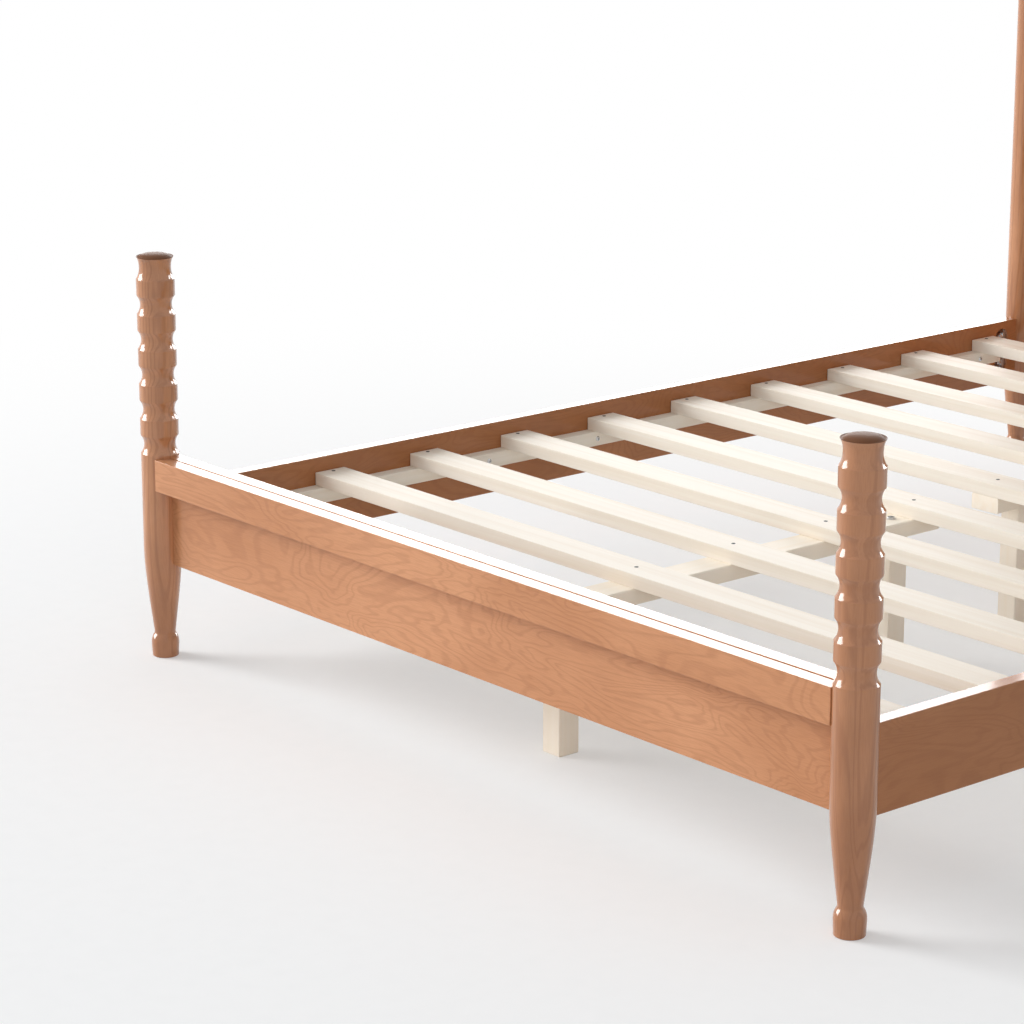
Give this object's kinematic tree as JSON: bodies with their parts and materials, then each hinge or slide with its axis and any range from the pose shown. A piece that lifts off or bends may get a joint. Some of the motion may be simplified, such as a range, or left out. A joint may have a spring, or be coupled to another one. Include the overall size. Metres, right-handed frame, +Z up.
{
  "type": "platform bed",
  "caption": "Wooden platform bed frame with turned scalloped corner posts, plank footboard and headboard, bolted side rails, cross slats and a legged centre beam.",
  "frame": {"origin": "on the floor, under the middle of the frame", "axes": "+X to the right of someone who stands at the foot and looks at the head, +Y from foot to head, +Z up"},
  "size_m": [1.627, 2.1434, 1.3196],
  "materials": {
    "lacquered_cherry": "satin-gloss clear lacquer on cherry",
    "pale_pine": "planed, unfinished",
    "zinc_steel": "bright zinc plated"
  },
  "bodies": {
    "root": {"foot_posts": "lacquered_cherry", "head_posts": "lacquered_cherry", "footboard_panel": "lacquered_cherry", "footboard_trim": "lacquered_cherry", "headboard_panel": "lacquered_cherry", "headboard_trim": "lacquered_cherry", "side_rail_left": "lacquered_cherry", "side_rail_right": "lacquered_cherry", "cleat_left": "pale_pine", "cleat_right": "pale_pine", "slat_1": "pale_pine", "slat_2": "pale_pine", "slat_3": "pale_pine", "slat_4": "pale_pine", "slat_5": "pale_pine", "slat_6": "pale_pine", "slat_7": "pale_pine", "slat_8": "pale_pine", "slat_9": "pale_pine", "slat_10": "pale_pine", "centre_beam_front": "pale_pine", "centre_beam_rear": "pale_pine", "centre_leg_1": "pale_pine", "centre_leg_2": "pale_pine", "centre_leg_3": "pale_pine", "centre_leg_4": "pale_pine", "lag_screws": "zinc_steel", "bed_bolts": "zinc_steel", "crescent_washers": "zinc_steel", "bed_nuts": "zinc_steel"}
  },
  "joints": []
}
